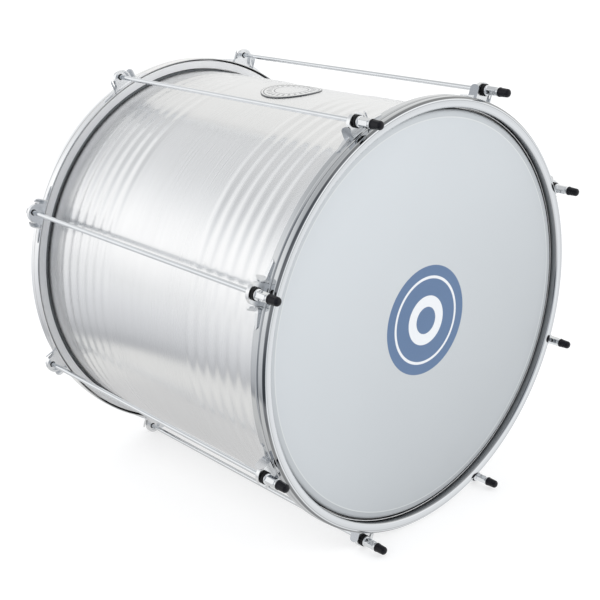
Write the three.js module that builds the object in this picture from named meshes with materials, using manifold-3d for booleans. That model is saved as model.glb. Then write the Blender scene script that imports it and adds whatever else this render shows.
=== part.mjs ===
// Surdo: a large two-headed samba drum, lying on its side on the ears of its hoops.
// Millimetres, +Z up. The drum's axis runs along Y and the batter head faces -Y.
// Each end of the drum is drawn once, facing +Y: depth counts from the hoop's outer edge inwards.

import * as THREE from "three";
import Module from "manifold-3d";
import { mergeVertices } from "three/addons/utils/BufferGeometryUtils.js";

const wasm = await Module();
wasm.setup();

// Whole drum
const drumLength = 468.5;
const rodCount = 8;
const fitGap = 0.3;
const overrun = 2;
const weldTolerance = 0.001;

// Shell: a rolled tube with a group of beads near each end
const shellDiameter = 501;
const shellWall = 1.5;
const beadCount = 6;
const beadPitch = 18.4;
const beadHeight = 0.9;
const firstBeadDepth = 47.5;
const beadCrestShares = [0.3, 0.7];

// Drum heads: a film stretched over the shell's edge into a flesh hoop outside the shell
const filmDepth = 9.5;
const filmThickness = 0.5;
const collarHeight = 5.5;
const collarFlare = 2.2;
const collarRounding = 0.5;
const fleshHoopWidth = 10.6;
const fleshHoopHeight = 6.5;
const fleshHoopChamfer = 0.8;

// Hoops: a pressed sheet channel that opens towards the shell
const hoopSheet = 1.6;
const skirtClearance = 2;
const skirtDepth = 20.5;
const innerLegInset = 0.8;
const innerLegDepth = 11;
const rimEdgeRounding = 2.6;
const rimInnerRounding = 2;
const grooveDepth = 9.6;
const grooveHalfWidth = 1.2;
const grooveSink = 1;
const upperBandStep = 0.4;

// Ears: a pressed arch behind a face plate that the rod passes through, two rounded fins beside it,
// and pointed legs welded along the skirt
const earSheet = 2.2;
const earDepth = 15;
const earWidth = 5;
const rodStandOff = 13.2;
const archRadius = 12.5;
const archStandOff = 9.5;
const faceSheet = 1.6;
const faceHoleClearance = 1.1;
const finRadius = 5;
const finSheet = 1.6;
const finReach = 16;
const finStandOff = 11;
const finSetBack = 1.8;
const finTurnDegrees = 57;
const legReach = 38;
const legRootReach = 23.5;
const legTipThickness = 0.8;

// Tension rods
const rodDiameter = 5.8;
const rodPastNut = 9.8;
const rodEndChamfer = 0.8;
const headAcrossFlats = 10;
const headHeight = 4.4;
const headChamfer = 0.9;

// Washers
const washerDiameter = 14.6;
const washerThickness = 3.7;
const washerChamfer = 0.7;

// Tuning nuts
const nutAcrossFlats = 10;
const nutLength = 18;
const nutChamfer = 0.9;
const nutFlangeDiameter = 12.8;
const nutFlangeThickness = 1.6;
const nutCollarDiameter = 9.4;
const nutCollarLength = 2.4;

// End caps
const capBaseDiameter = 11.4;
const capBodyDiameter = 10.8;
const capTipDiameter = 10;
const capLength = 15.2;
const capLipHeight = 2.2;
const capDomeHeight = 3.6;
const capBoreSpare = 1;

// Badge: a round plate bent to the shell
const badgeDiameter = 78;
const badgePlate = 0.6;
const badgeRimWidth = 3;
const badgeRimHeight = 1.1;

// Facet counts
const ringFacets = 48;
const badgeEdgeFacets = 32;
const smallFacets = 12;
const hexFacets = 6;
const archFacets = 8;
const flareFacets = 4;
const finFacets = 6;
const domeFacets = 2;

const shellRadius = shellDiameter / 2;
const collarRadius = shellRadius + fitGap + filmThickness + collarFlare;
const fleshHoopInner = collarRadius + fitGap;
const fleshHoopOuter = fleshHoopInner + fleshHoopWidth;
const hoopRadius = fleshHoopOuter + skirtClearance + hoopSheet;
const rodCircleRadius = hoopRadius + rodStandOff;
const rodRadius = rodDiameter / 2;
const boreRadius = rodRadius + fitGap;
const archHeight = hoopRadius + archStandOff;
const shellEdgeDepth = filmDepth + filmThickness + fitGap;
const washerDepth = earDepth - fitGap - washerThickness;
const nutSeatDepth = washerDepth - fitGap;
const nutFaceDepth = nutSeatDepth - nutLength;
const capFaceDepth = nutFaceDepth - fitGap;
const capTipDepth = capFaceDepth - capLength;
const axisHeight = archHeight * Math.cos(Math.PI / rodCount) + archRadius;

function metal(color, roughness) {
  return new THREE.MeshStandardMaterial({ color, roughness, metalness: 1 });
}

function dull(color, roughness) {
  return new THREE.MeshStandardMaterial({ color, roughness, metalness: 0 });
}

const materials = {
  aluminium: () => metal(0xd9dadb, 0.35),
  chrome: () => metal(0xdfe3e6, 0.12),
  film: () => dull(0xd0d8db, 0.4),
  rubber: () => dull(0x17181c, 0.6),
};

// Any closed surface as an indexed geometry with shared corners, no slivers and its faces outward
function closed(source) {
  const bare = source.clone();
  bare.deleteAttribute("normal");
  bare.deleteAttribute("uv");
  const merged = mergeVertices(bare, weldTolerance);
  const place = merged.getAttribute("position");
  const old = merged.getIndex().array;
  const kept = [];
  let volume = 0;
  const [a, b, c] = [new THREE.Vector3(), new THREE.Vector3(), new THREE.Vector3()];
  for (let i = 0; i < old.length; i += 3) {
    const [p, q, r] = [old[i], old[i + 1], old[i + 2]];
    if (p === q || q === r || r === p) continue;
    a.fromBufferAttribute(place, p);
    b.fromBufferAttribute(place, q);
    c.fromBufferAttribute(place, r);
    volume += a.dot(b.cross(c));
    kept.push(p, q, r);
  }
  if (volume < 0) kept.reverse();
  merged.setIndex(kept);
  return merged;
}

function toSolid(geometry) {
  const ready = closed(geometry);
  return new wasm.Manifold(new wasm.Mesh({
    numProp: 3,
    vertProperties: new Float32Array(ready.getAttribute("position").array),
    triVerts: new Uint32Array(ready.getIndex().array),
  }));
}

function toGeometry(solid) {
  const mesh = solid.getMesh();
  const geometry = new THREE.BufferGeometry();
  geometry.setAttribute("position", new THREE.BufferAttribute(mesh.vertProperties, 3));
  geometry.setIndex(new THREE.BufferAttribute(mesh.triVerts, 1));
  return geometry;
}

// A body of revolution about Y from [radius, y] points, which start and end on the axis
function turned(points, facets) {
  return closed(new THREE.LatheGeometry(points.map(([r, y]) => new THREE.Vector2(r, y)), facets));
}

// A ring about Y whose section is a closed loop of [radius, y] points
function turnedRing(points, facets) {
  return turned([...points, points[0]], facets);
}

// A cylinder about Y from one height to another
function roundBar(radius, low, high, facets) {
  return turned([[0, low], [radius, low], [radius, high], [0, high]], facets);
}

// A hexagonal bar about Y with both ends turned down to a chamfer
function hexBar(acrossFlats, low, high, chamfer) {
  const cornerRadius = acrossFlats / 2 / Math.cos(Math.PI / hexFacets);
  const hex = roundBar(cornerRadius, low, high, hexFacets);
  const turning = turned([
    [0, low],
    [cornerRadius - chamfer, low],
    [cornerRadius, low + chamfer],
    [cornerRadius, high - chamfer],
    [cornerRadius - chamfer, high],
    [0, high],
  ], smallFacets);
  return toSolid(hex).intersect(toSolid(turning));
}

// The shell's outside, as [radius, y] points from the batter end to the rear end
function shellOutline() {
  const firstBead = drumLength / 2 - firstBeadDepth;
  const group = [[shellRadius, firstBead]];
  for (let bead = 0; bead < beadCount; bead += 1) {
    beadCrestShares.forEach((share) => {
      group.push([shellRadius + beadHeight, firstBead - (bead + share) * beadPitch]);
    });
    group.push([shellRadius, firstBead - (bead + 1) * beadPitch]);
  }
  const end = drumLength / 2 - shellEdgeDepth;
  const batterGroup = group.map(([r, y]) => [r, -y]);
  return [[shellRadius, -end], ...batterGroup, ...group.reverse(), [shellRadius, end]];
}

function makeShell() {
  const end = drumLength / 2 - shellEdgeDepth;
  const bore = shellRadius - shellWall;
  return turnedRing([...shellOutline(), [bore, end], [bore, -end]], ringFacets);
}

// The plate follows the shell, and its raised edge stands above the plate
function makeBadge() {
  const seat = shellRadius + fitGap;
  const reach = badgeDiameter / 2;
  const disc = (radius) => {
    const bar = roundBar(radius, 0, seat + reach, badgeEdgeFacets);
    bar.rotateX(Math.PI / 2);
    return toSolid(bar);
  };
  const band = (low, high) => toSolid(turnedRing([
    [low, -badgeDiameter],
    [high, -badgeDiameter],
    [high, badgeDiameter],
    [low, badgeDiameter],
  ], ringFacets));
  const plate = band(seat, seat + badgeRimHeight).intersect(disc(reach));
  const wellTop = seat + badgeRimHeight + overrun;
  const well = band(seat + badgePlate, wellTop).intersect(disc(reach - badgeRimWidth));
  return toGeometry(plate.subtract(well));
}

// A film with its collar, which clears the shell's edge all round
function makeFilm() {
  const inside = shellRadius + fitGap;
  const outside = inside + filmThickness;
  const underCollar = collarRadius - filmThickness;
  const top = -filmDepth;
  const bottom = top - collarHeight;
  return turned([
    [0, top],
    [outside - collarRounding, top],
    [outside, top - collarRounding / 2],
    [collarRadius, bottom],
    [underCollar, bottom],
    [inside, top - filmThickness - collarRounding / 2],
    [inside, top - filmThickness],
    [0, top - filmThickness],
  ], ringFacets);
}

// The ring that holds the film's edge, just under the hoop's inner leg
function makeFleshHoop() {
  const top = -innerLegDepth - fitGap;
  const bottom = top - fleshHoopHeight;
  return turnedRing([
    [fleshHoopInner, bottom],
    [fleshHoopOuter - fleshHoopChamfer, bottom],
    [fleshHoopOuter, bottom + fleshHoopChamfer],
    [fleshHoopOuter, top],
    [fleshHoopInner, top],
  ], ringFacets);
}

// The hoop's section: down the outside of the skirt, and back up its inside
function hoopSection() {
  const upper = hoopRadius - upperBandStep;
  const inner = fleshHoopInner + innerLegInset;
  const under = hoopSheet;
  const outside = [
    [hoopRadius, -skirtDepth],
    [hoopRadius, -grooveDepth - grooveHalfWidth],
    [hoopRadius - grooveSink, -grooveDepth],
    [upper, -grooveDepth + grooveHalfWidth],
    [upper, -rimEdgeRounding],
    [upper - rimEdgeRounding, 0],
    [inner + rimInnerRounding, 0],
    [inner, -rimInnerRounding],
    [inner, -innerLegDepth],
  ];
  const inside = [
    [inner + under, -innerLegDepth],
    [inner + under, -rimInnerRounding],
    [inner + rimInnerRounding, -under],
    [upper - rimEdgeRounding, -under],
    [upper - under, -rimEdgeRounding],
    [upper - under, -grooveDepth + grooveHalfWidth],
    [hoopRadius - grooveSink - under, -grooveDepth],
    [hoopRadius - under, -grooveDepth - grooveHalfWidth],
    [hoopRadius - under, -skirtDepth],
  ];
  return [...outside, ...inside];
}

// Points on an arc of a given centre, with both ends included
function arc(x, y, radius, from, to, facets) {
  const points = [];
  for (let step = 0; step <= facets; step += 1) {
    const angle = from + (to - from) * step / facets;
    points.push(new THREE.Vector2(x + radius * Math.cos(angle), y + radius * Math.sin(angle)));
  }
  return points;
}

// A list of points reflected about the vertical axis, in the opposite order
function mirrored(points) {
  return points.slice().reverse().map((p) => new THREE.Vector2(-p.x, p.y));
}

// The height of a circle about the drum's axis at a distance across the ear
function onCircle(reach, radius) {
  return Math.sqrt(radius * radius - reach * reach);
}

// The right half of an ear seen along the rod, from its foot on the skirt to the top of the arch
function archOutside() {
  const flareRadius = archStandOff - earSheet;
  const right = Math.PI / 2;
  return [
    ...arc(archRadius + flareRadius, archHeight, flareRadius, -right, -2 * right, flareFacets),
    ...arc(0, archHeight, archRadius, 0, right, archFacets / 2),
  ];
}

// The arch and its legs seen along the rod: the outside from leg to leg, and back along the inside
function archSection() {
  const foot = archRadius + archStandOff - earSheet;
  const buried = hoopRadius - hoopSheet / 2;
  const right = Math.PI / 2;
  const outside = [
    new THREE.Vector2(legReach, onCircle(legReach, buried)),
    new THREE.Vector2(legReach, onCircle(legReach, hoopRadius) + legTipThickness),
    ...archOutside(),
  ];
  const inside = [
    ...arc(0, archHeight, archRadius - earSheet, right, 0, archFacets / 2),
    ...arc(foot, archHeight, archStandOff, -2 * right, -right, flareFacets),
    new THREE.Vector2(foot, onCircle(foot, buried)),
  ];
  return new THREE.Shape([...outside, ...mirrored(outside), ...mirrored(inside), ...inside]);
}

// An ear seen from outside the drum: a band that narrows to pointed legs
function earPlan() {
  const near = -earDepth;
  const half = [
    new THREE.Vector2(legReach - earWidth / 2, near),
    new THREE.Vector2(legReach, near - earWidth / 2),
    new THREE.Vector2(legRootReach, near - earWidth),
  ];
  return new THREE.Shape([...half, ...mirrored(half)]);
}

// A flat shape given a thickness along the rod, with its near face at a depth below the hoop's edge
function plateAt(shape, depth, thickness) {
  const plate = new THREE.ExtrudeGeometry(shape, { depth: thickness, bevelEnabled: false });
  plate.translate(0, 0, depth);
  plate.rotateX(Math.PI / 2);
  return toSolid(plate);
}

// The plate that closes the arch's outer end and has the rod's hole in it
function makeFace() {
  const foot = archRadius + archStandOff - earSheet;
  const half = [
    new THREE.Vector2(foot, onCircle(foot, hoopRadius - hoopSheet / 2)),
    ...archOutside(),
  ];
  const plate = plateAt(new THREE.Shape([...half, ...mirrored(half)]), earDepth, faceSheet);
  const hole = roundBar(rodRadius + faceHoleClearance, -skirtDepth, 0, smallFacets);
  hole.translate(0, 0, rodCircleRadius);
  return plate.subtract(toSolid(hole));
}

// A standing fin with a round top, turned so that it opens outwards away from the hoop's edge
function makeFin(side) {
  const bottom = onCircle(finReach, hoopRadius - hoopSheet / 2);
  const outline = [
    new THREE.Vector2(-finRadius, bottom),
    new THREE.Vector2(finRadius, bottom),
    ...arc(0, hoopRadius + finStandOff, finRadius, 0, Math.PI, finFacets),
  ];
  const fin = plateAt(new THREE.Shape(outline), -finSheet / 2, finSheet);
  const opened = fin.rotate([0, 0, -side * finTurnDegrees]);
  return opened.translate([side * finReach, -earDepth - finSetBack, 0]);
}

// One ear at the top of the drum
function makeEar() {
  const pressed = plateAt(archSection(), earDepth - overrun / 2, earWidth + overrun);
  const cutter = new THREE.ExtrudeGeometry(earPlan(), {
    depth: rodCircleRadius,
    bevelEnabled: false,
  });
  cutter.translate(0, 0, hoopRadius / 2);
  return pressed.intersect(toSolid(cutter)).add(makeFace()).add(makeFin(-1)).add(makeFin(1));
}

// A hoop and the ears that are welded to it
function makeHoop() {
  const ear = makeEar();
  let hoop = toSolid(turnedRing(hoopSection(), ringFacets));
  for (let i = 0; i < rodCount; i += 1) {
    hoop = hoop.add(ear.rotate([0, THREE.MathUtils.radToDeg(rodAngle(i)), 0]));
  }
  return toGeometry(hoop);
}

function makeRod() {
  const rearHead = drumLength / 2 - washerDepth + fitGap;
  const tip = -drumLength / 2 + nutFaceDepth - rodPastNut;
  const shank = turned([
    [0, tip],
    [rodRadius - rodEndChamfer, tip],
    [rodRadius, tip + rodEndChamfer],
    [rodRadius, rearHead + headHeight / 2],
    [0, rearHead + headHeight / 2],
  ], smallFacets);
  const head = hexBar(headAcrossFlats, rearHead, rearHead + headHeight, headChamfer);
  return toGeometry(toSolid(shank).add(head));
}

function makeWasher() {
  const radius = washerDiameter / 2;
  return turnedRing([
    [boreRadius, 0],
    [radius - washerChamfer, 0],
    [radius, washerChamfer],
    [radius, washerThickness - washerChamfer],
    [radius - washerChamfer, washerThickness],
    [boreRadius, washerThickness],
  ], smallFacets);
}

// A long nut with a round flange on the washer's side and a round collar on the cap's side
function makeNut() {
  const flange = nutFlangeDiameter / 2;
  const collar = nutCollarDiameter / 2;
  const core = turned([
    [0, 0],
    [flange, 0],
    [flange, nutFlangeThickness],
    [collar, nutFlangeThickness],
    [collar, nutLength],
    [0, nutLength],
  ], smallFacets);
  const hex = hexBar(nutAcrossFlats, 0, nutLength - nutCollarLength, nutChamfer);
  const bore = roundBar(boreRadius, -overrun, nutLength + overrun, smallFacets);
  return toGeometry(hex.add(toSolid(core)).subtract(toSolid(bore)));
}

// A cap with a thicker lip, a slight taper and a domed tip, over a blind bore for the rod's end
function makeCap() {
  const boreDepth = rodPastNut + capBoreSpare;
  const shoulder = capLength - capDomeHeight;
  const tip = capTipDiameter / 2;
  const outline = [
    [0, boreDepth],
    [boreRadius, boreDepth],
    [boreRadius, 0],
    [capBaseDiameter / 2, 0],
    [capBodyDiameter / 2, capLipHeight],
  ];
  for (let step = 0; step < domeFacets; step += 1) {
    const angle = (step / domeFacets) * Math.PI / 2;
    outline.push([tip * Math.cos(angle), shoulder + capDomeHeight * Math.sin(angle)]);
  }
  outline.push([0, capLength]);
  return turned(outline, smallFacets);
}

// Rods are numbered clockwise from the top, as seen from the batter side
function rodAngle(index) {
  return (2 * index + 1) * Math.PI / rodCount;
}

function addPiece(parent, name, geometry, material) {
  const mesh = new THREE.Mesh(geometry, material);
  mesh.name = name;
  parent.add(mesh);
  return mesh;
}

// Sets a piece on a rod's line, at a depth below an end's hoop edge
function setOnRod(mesh, index, y, side) {
  const angle = rodAngle(index);
  mesh.position.set(side * rodCircleRadius * Math.sin(angle), y, rodCircleRadius * Math.cos(angle));
  mesh.rotation.y = side * angle;
}

function addEnd(drum, prefix, turn) {
  const end = new THREE.Group();
  end.rotation.z = turn;
  end.position.y = Math.cos(turn) * drumLength / 2;
  addPiece(end, `${prefix}_head_film`, makeFilm(), materials.film());
  addPiece(end, `${prefix}_flesh_hoop`, makeFleshHoop(), materials.aluminium());
  addPiece(end, `${prefix}_hoop`, makeHoop(), materials.chrome());
  drum.add(end);
  return end;
}

function build() {
  const drum = new THREE.Group();
  drum.position.set(0, -capTipDepth / 2, axisHeight);
  addPiece(drum, "shell", makeShell(), materials.aluminium());
  addPiece(drum, "badge", makeBadge(), materials.aluminium());
  const rearEnd = addEnd(drum, "rear", 0);
  const batterEnd = addEnd(drum, "batter", Math.PI);
  const [rod, washer, nut, cap] = [makeRod(), makeWasher(), makeNut(), makeCap()];
  for (let i = 0; i < rodCount; i += 1) {
    const number = i + 1;
    const shank = addPiece(drum, `tension_rod_${number}`, rod, materials.chrome());
    setOnRod(shank, i, 0, 1);
    const rearWasher = addPiece(rearEnd, `rear_washer_${number}`, washer, materials.rubber());
    setOnRod(rearWasher, i, -washerDepth - washerThickness, 1);
    const batterWasher = addPiece(batterEnd, `batter_washer_${number}`, washer, materials.rubber());
    setOnRod(batterWasher, i, -washerDepth - washerThickness, -1);
    const tuningNut = addPiece(batterEnd, `tuning_nut_${number}`, nut, materials.chrome());
    setOnRod(tuningNut, i, -nutSeatDepth, -1);
    const endCap = addPiece(batterEnd, `end_cap_${number}`, cap, materials.rubber());
    setOnRod(endCap, i, -capFaceDepth, -1);
  }
  return drum;
}

export default build();
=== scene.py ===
"""The looks of the surdo: a large samba drum lying on its side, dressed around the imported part.

Metres, in the part's own frame: +Z up, the drum's axis along Y, the batter head facing -Y.
Each end is drawn once. Depth counts from the hoop's outer edge towards the shell's middle,
and an end's side is -1 for the batter head and +1 for the rear head.
"""

import math

import bmesh
import bpy
from mathutils import Matrix, Vector
from mathutils.geometry import tessellate_polygon


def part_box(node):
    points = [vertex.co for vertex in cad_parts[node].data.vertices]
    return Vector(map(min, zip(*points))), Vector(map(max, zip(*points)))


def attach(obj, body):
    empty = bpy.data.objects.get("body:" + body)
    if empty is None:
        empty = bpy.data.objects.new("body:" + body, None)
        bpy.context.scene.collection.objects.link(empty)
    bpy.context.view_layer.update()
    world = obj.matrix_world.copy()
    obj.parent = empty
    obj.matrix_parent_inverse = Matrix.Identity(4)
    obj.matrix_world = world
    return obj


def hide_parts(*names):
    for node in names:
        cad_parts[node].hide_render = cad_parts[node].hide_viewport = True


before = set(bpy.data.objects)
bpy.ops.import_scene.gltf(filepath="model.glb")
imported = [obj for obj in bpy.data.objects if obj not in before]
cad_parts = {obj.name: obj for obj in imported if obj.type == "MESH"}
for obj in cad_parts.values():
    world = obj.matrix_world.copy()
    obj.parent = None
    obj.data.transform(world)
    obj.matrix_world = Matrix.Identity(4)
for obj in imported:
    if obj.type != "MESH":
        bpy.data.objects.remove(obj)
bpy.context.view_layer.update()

MM = 0.001
TURN = 2 * math.pi
QUARTER = math.pi / 2

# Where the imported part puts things
shell_low, shell_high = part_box("shell")
batter_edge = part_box("batter_hoop")[0].y
rear_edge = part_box("rear_hoop")[1].y
AXIS_HEIGHT = (shell_low.z + shell_high.z) / 2
MIDDLE = (batter_edge + rear_edge) / 2
HALF_LENGTH = (rear_edge - batter_edge) / 2
ROD_COUNT = 8
ENDS = {"batter": -1, "rear": 1}

# Shell
FIT_GAP = 0.3 * MM
SHELL_RADIUS = 250.5 * MM
SHELL_WALL = 1.5 * MM
BEAD_COUNT = 6
BEAD_PITCH = 18.4 * MM
BEAD_HEIGHT = 0.9 * MM
BEAD_STEPS = 16
FIRST_BEAD_DEPTH = 47.5 * MM

# Heads
FILM_DEPTH = 9.5 * MM
FILM_THICKNESS = 0.5 * MM
FILM_INSIDE = SHELL_RADIUS + FIT_GAP
FILM_ROUNDING = 2 * MM
FILM_SOFTNESS = 1.2 * MM
FILM_RINGS = (100 * MM, 200 * MM, 240 * MM)
SHELL_EDGE_DEPTH = FILM_DEPTH + FILM_THICKNESS + FIT_GAP
COLLAR_FLARE = 2.2 * MM
COLLAR_RADIUS = FILM_INSIDE + FILM_THICKNESS + COLLAR_FLARE
COLLAR_HEIGHT = 5.5 * MM
INNER_LEG_DEPTH = 11 * MM
FLESH_INNER = COLLAR_RADIUS + FIT_GAP
FLESH_WIDTH = 10.6 * MM
FLESH_OUTER = FLESH_INNER + FLESH_WIDTH
FLESH_TOP = INNER_LEG_DEPTH + FIT_GAP
FLESH_HEIGHT = 6.5 * MM
FLESH_BOTTOM = FLESH_TOP + FLESH_HEIGHT
FLESH_SOFTNESS = 0.9 * MM
# Painted shade on the flesh hoop's inner face: out to a little past that face, with a soft edge
FLESH_SHADE_INSET = 0.2 * MM
FLESH_SHADE_RADIUS = FLESH_INNER + FLESH_SHADE_INSET
FLESH_SHADE_WIDTH = 0.3 * MM

# What shows on the film: a stretched ring, painted shade at its rim, and the printed disc
FILM_RING_RADIUS = 242.6 * MM
FILM_RING_WIDTH = 1.1 * MM
FILM_RIM_RADIUS = 251.9 * MM
FILM_RIM_SOFTNESS = 0.5 * MM
FILM_SHADE_REACH = 200 * MM
PRINT_RADIUS = 68.5 * MM
PRINT_LINE = (52 * MM, 55.5 * MM)
PRINT_RING = (17 * MM, 31 * MM)

# Hoops
HOOP_SHEET = 1.6 * MM
SKIRT_CLEARANCE = 2 * MM
HOOP_RADIUS = FLESH_OUTER + SKIRT_CLEARANCE + HOOP_SHEET
HOOP_SOFTNESS = 1.1 * MM
SKIRT_DEPTH = 20.5 * MM
UPPER_BAND_STEP = 0.4 * MM
UPPER_RADIUS = HOOP_RADIUS - UPPER_BAND_STEP
GROOVE_DEPTH = 9.6 * MM
GROOVE_HALF_WIDTH = 1.2 * MM
GROOVE_SINK = 1 * MM
RIM_EDGE = 2.6 * MM
INNER_LEG_INSET = 0.8 * MM
INNER_RADIUS = FLESH_INNER + INNER_LEG_INSET
RIM_INNER = 2 * MM
RIDGE_DEPTH = 12.3 * MM
RIDGE_HALF_WIDTH = 0.8 * MM
RIDGE_HEIGHT = 0.25 * MM
CROWN_FLAT = 3.2 * MM
CROWN_SLOPE = 0.6 * MM

# Tension rods
ROD_RADIUS = 2.9 * MM
ROD_STAND_OFF = 13.2 * MM
ROD_CIRCLE = HOOP_RADIUS + ROD_STAND_OFF
ROD_PAST_NUT = 9.8 * MM
BORE_RADIUS = ROD_RADIUS + FIT_GAP
TIP_CHAMFER = 0.7 * MM
TIP_INSET = 0.9 * MM
TIP_STEP = 0.2 * MM
ROD_IN_HEAD = 1 * MM
THREAD_LENGTH = 42 * MM
THREAD_RUN_OUT = 2 * MM
THREAD_START = 1.2 * MM
THREAD_PITCH = 1 * MM
THREAD_SINK = 0.3 * MM
THREAD_FALL_SHARE = 0.1
THREAD_ROOT_SHARE = 0.5
THREAD_RISE_SHARE = 0.9

# Ears
EAR_SHEET = 2.2 * MM
EAR_DEPTH = 15 * MM
EAR_WIDTH = 5 * MM
ARCH_RADIUS = 12.5 * MM
ARCH_STAND_OFF = 9.5 * MM
ARCH_HEIGHT = HOOP_RADIUS + ARCH_STAND_OFF
FLARE_RADIUS = ARCH_STAND_OFF - EAR_SHEET
FACE_SHEET = 1.6 * MM
FACE_INSET = 1.1 * MM
FACE_SET_BACK = 0.15 * MM
FACE_HOLE_CLEARANCE = 1.1 * MM
FACE_HOLE_RADIUS = ROD_RADIUS + FACE_HOLE_CLEARANCE
FIN_RADIUS = 5 * MM
FIN_SHEET = 1.6 * MM
FIN_REACH = 16 * MM
FIN_STAND_OFF = 11 * MM
FIN_HEIGHT = HOOP_RADIUS + FIN_STAND_OFF
FIN_SET_BACK = 1.8 * MM
FIN_DEPTH = EAR_DEPTH + FIN_SET_BACK
FIN_TURN = math.radians(57)
LEG_ROOT = 23.5 * MM
LEG_REACH = 38 * MM
LEG_TIP = 0.8 * MM
LEG_STEPS = 12
LEG_CLOSING_SHARE = 0.9
EAR_SOFTNESS = 0.4 * MM
EAR_SOFT_SEGMENTS = 2
EAR_SOFT_ANGLE = math.radians(50)

# Washers, nuts, heads of the rods and caps
WASHER_RADIUS = 7.3 * MM
WASHER_THICKNESS = 3.7 * MM
WASHER_SOFTNESS = 1 * MM
WASHER_DEPTH = EAR_DEPTH - FIT_GAP - WASHER_THICKNESS
HEAD_DEPTH = WASHER_DEPTH - FIT_GAP
HEAD_HEIGHT = 4.4 * MM
HEX_FLATS = 10 * MM
HEX_CHAMFER = 0.9 * MM
HEX_SOFTNESS = 0.25 * MM
HEX_CORNER_CUT = 0.15 * MM
HEX_BULGE_SHARE = 0.6
HEX_STEPS = 96
NUT_DEPTH = WASHER_DEPTH - FIT_GAP
NUT_LENGTH = 18 * MM
NUT_FLANGE_RADIUS = 6.4 * MM
NUT_FLANGE_HEIGHT = 1.6 * MM
NUT_FLANGE_SLOPE = 0.5 * MM
NUT_COLLAR_RADIUS = 4.7 * MM
NUT_COLLAR_LENGTH = 2.4 * MM
NUT_FLANGE_SOFTNESS = 0.5 * MM
NUT_COLLAR_SOFTNESS = 0.6 * MM
NUT_CORE_OVERLAP = 0.4 * MM
HEX_START = 0.4 * MM
ROD_TIP_DEPTH = NUT_DEPTH - NUT_LENGTH - ROD_PAST_NUT
CAP_DEPTH = NUT_DEPTH - NUT_LENGTH - FIT_GAP
CAP_LENGTH = 15.2 * MM
CAP_BASE_RADIUS = 5.7 * MM
CAP_BODY_RADIUS = 5.4 * MM
CAP_TIP_RADIUS = 5 * MM
CAP_LIP = 2.2 * MM
CAP_LIP_SHARE = 0.8
CAP_LIP_SOFTNESS = 0.5 * MM
CAP_DOME = 3.6 * MM
CAP_BORE_SPARE = 1 * MM
CAP_BORE = ROD_PAST_NUT + CAP_BORE_SPARE
CAP_STEPS = 8
CAP_RIBS = 14
STEPS_PER_RIB = 6
CAP_RIB_SINK = 0.12 * MM
CAP_RIB_FADE = 1.5 * MM
CAP_SIDE_SHARE = 1.05

# Badge
BADGE_RADIUS = 39 * MM
BADGE_RIM = 3 * MM
BADGE_PLATE = 0.6 * MM
BADGE_RIM_HEIGHT = 1.1 * MM
BADGE_RIM_SLOPE = 0.4 * MM
BADGE_RIM_FALL = 0.15 * MM
BADGE_RIM_EASE = 0.9 * MM
BADGE_EDGE_EASE = 0.2 * MM
BADGE_BACK_INSET = 0.1 * MM
BADGE_BUMP = 0.12 * MM
BADGE_PLATE_SHARES = (0.0, 0.4, 0.8)
BADGE_BUMP_SHARE = 0.83
BADGE_BUMP_END_SHARE = 0.86
BADGE_STEPS = 96
BADGE_LINE = 1.2 * MM
BADGE_RING_INNER = 21 * MM
BADGE_RING_OUTER = 34.5 * MM
BADGE_TICKS_INNER = 25 * MM
BADGE_TICKS_OUTER = 31.5 * MM
BADGE_TICKS = 24.0

# The soft edge of a printed or engraved line, and the depths of the surfaces' fine relief
LINE_SOFTNESS = 0.3 * MM
SHELL_GRAIN_DEPTH = 0.02 * MM
MILL_GRAIN_DEPTH = 0.03 * MM
ENGRAVING_DEPTH = 0.1 * MM
RIPPLE_DEPTH = 0.8 * MM
RUBBER_GRAIN_DEPTH = 0.2 * MM
SPECK_DEPTH = 0.1 * MM

# Tones of the heads, with the painted shade at the film's rim, and of the painted shade and the engraving
# on metal
FILM_TONE = (0.677, 0.710, 0.730)
FILM_RING_TONE = (0.80, 0.82, 0.81)
FILM_RING_STRENGTH = 0.7
FILM_RIM_SHADE_TONE = (0.012, 0.012, 0.013)
PRINT_TONE = (0.123, 0.200, 0.342)
OPEN_RING_TONE = (0.86, 0.88, 0.9)
FLESH_SHADE_TONE = (0.02, 0.02, 0.022)
ENGRAVED_TONE = (0.20, 0.205, 0.215)

# The film's painted shade: the way it darkens, as parts along +X and downwards, and how dark it gets at
# that end and beyond the stretched ring
FILM_SHADE_ACROSS = 0.6
FILM_SHADE_DOWN = 0.8
FILM_SHADE_AMOUNT = 0.21
FILM_OUTSIDE_SHADE = 0.10

# How finely things are drawn
RING_STEPS = 288
SMALL_STEPS = 48
ROD_STEPS = 32
ARCH_STEPS = 16
FLARE_STEPS = 12
FIN_STEPS = 20
HOLE_STEPS = 32
FLOOR_STEPS = 8
ON_AXIS = 1e-7
FILLET_SHARE = 0.45

# The photograph's camera
LENS = 67.35
SENSOR = 36
CAMERA_PLACE = (-0.948, -1.033, 0.7863)
CAMERA_FORWARD = (0.6267, 0.6894, -0.3633)
CAMERA_RIGHT = (0.7305, -0.6821, -0.0342)
CLIP_START = 0.01
CLIP_END = 100

# The floor: how pale its paper is to other things and to the camera, and the light that lifts it to
# white for the camera, which grows from one distance to another
FLOOR_HALF = 8
PAPER_LEVEL = 0.8
PAPER_SEEN_LEVEL = 0.5
LIFT_SPAN = (1.0, 3.0)
LIFT_LEVELS = (0.6, 0.75)

# The unlit front of the studio: the level direction towards it, the cosines where it starts on the
# floor and on the walls, how much further in it is dim and then dark, the distances over which it
# starts on the floor, and the heights over which it ends on the walls
FRONT_DIRECTION = (-0.72, -0.69)
FLOOR_FRONT_START = 0.62
WALL_FRONT_START = 0.5
FRONT_DIM = 0.14
FRONT_DARK_SPAN = (0.22, 0.34)
UNLIT_FLOOR_SPAN = (0.72, 0.85)
UNLIT_WALL_SPAN = (0.84, 0.92)
DIM_TONE = (0.54, 0.56, 0.59)

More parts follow.
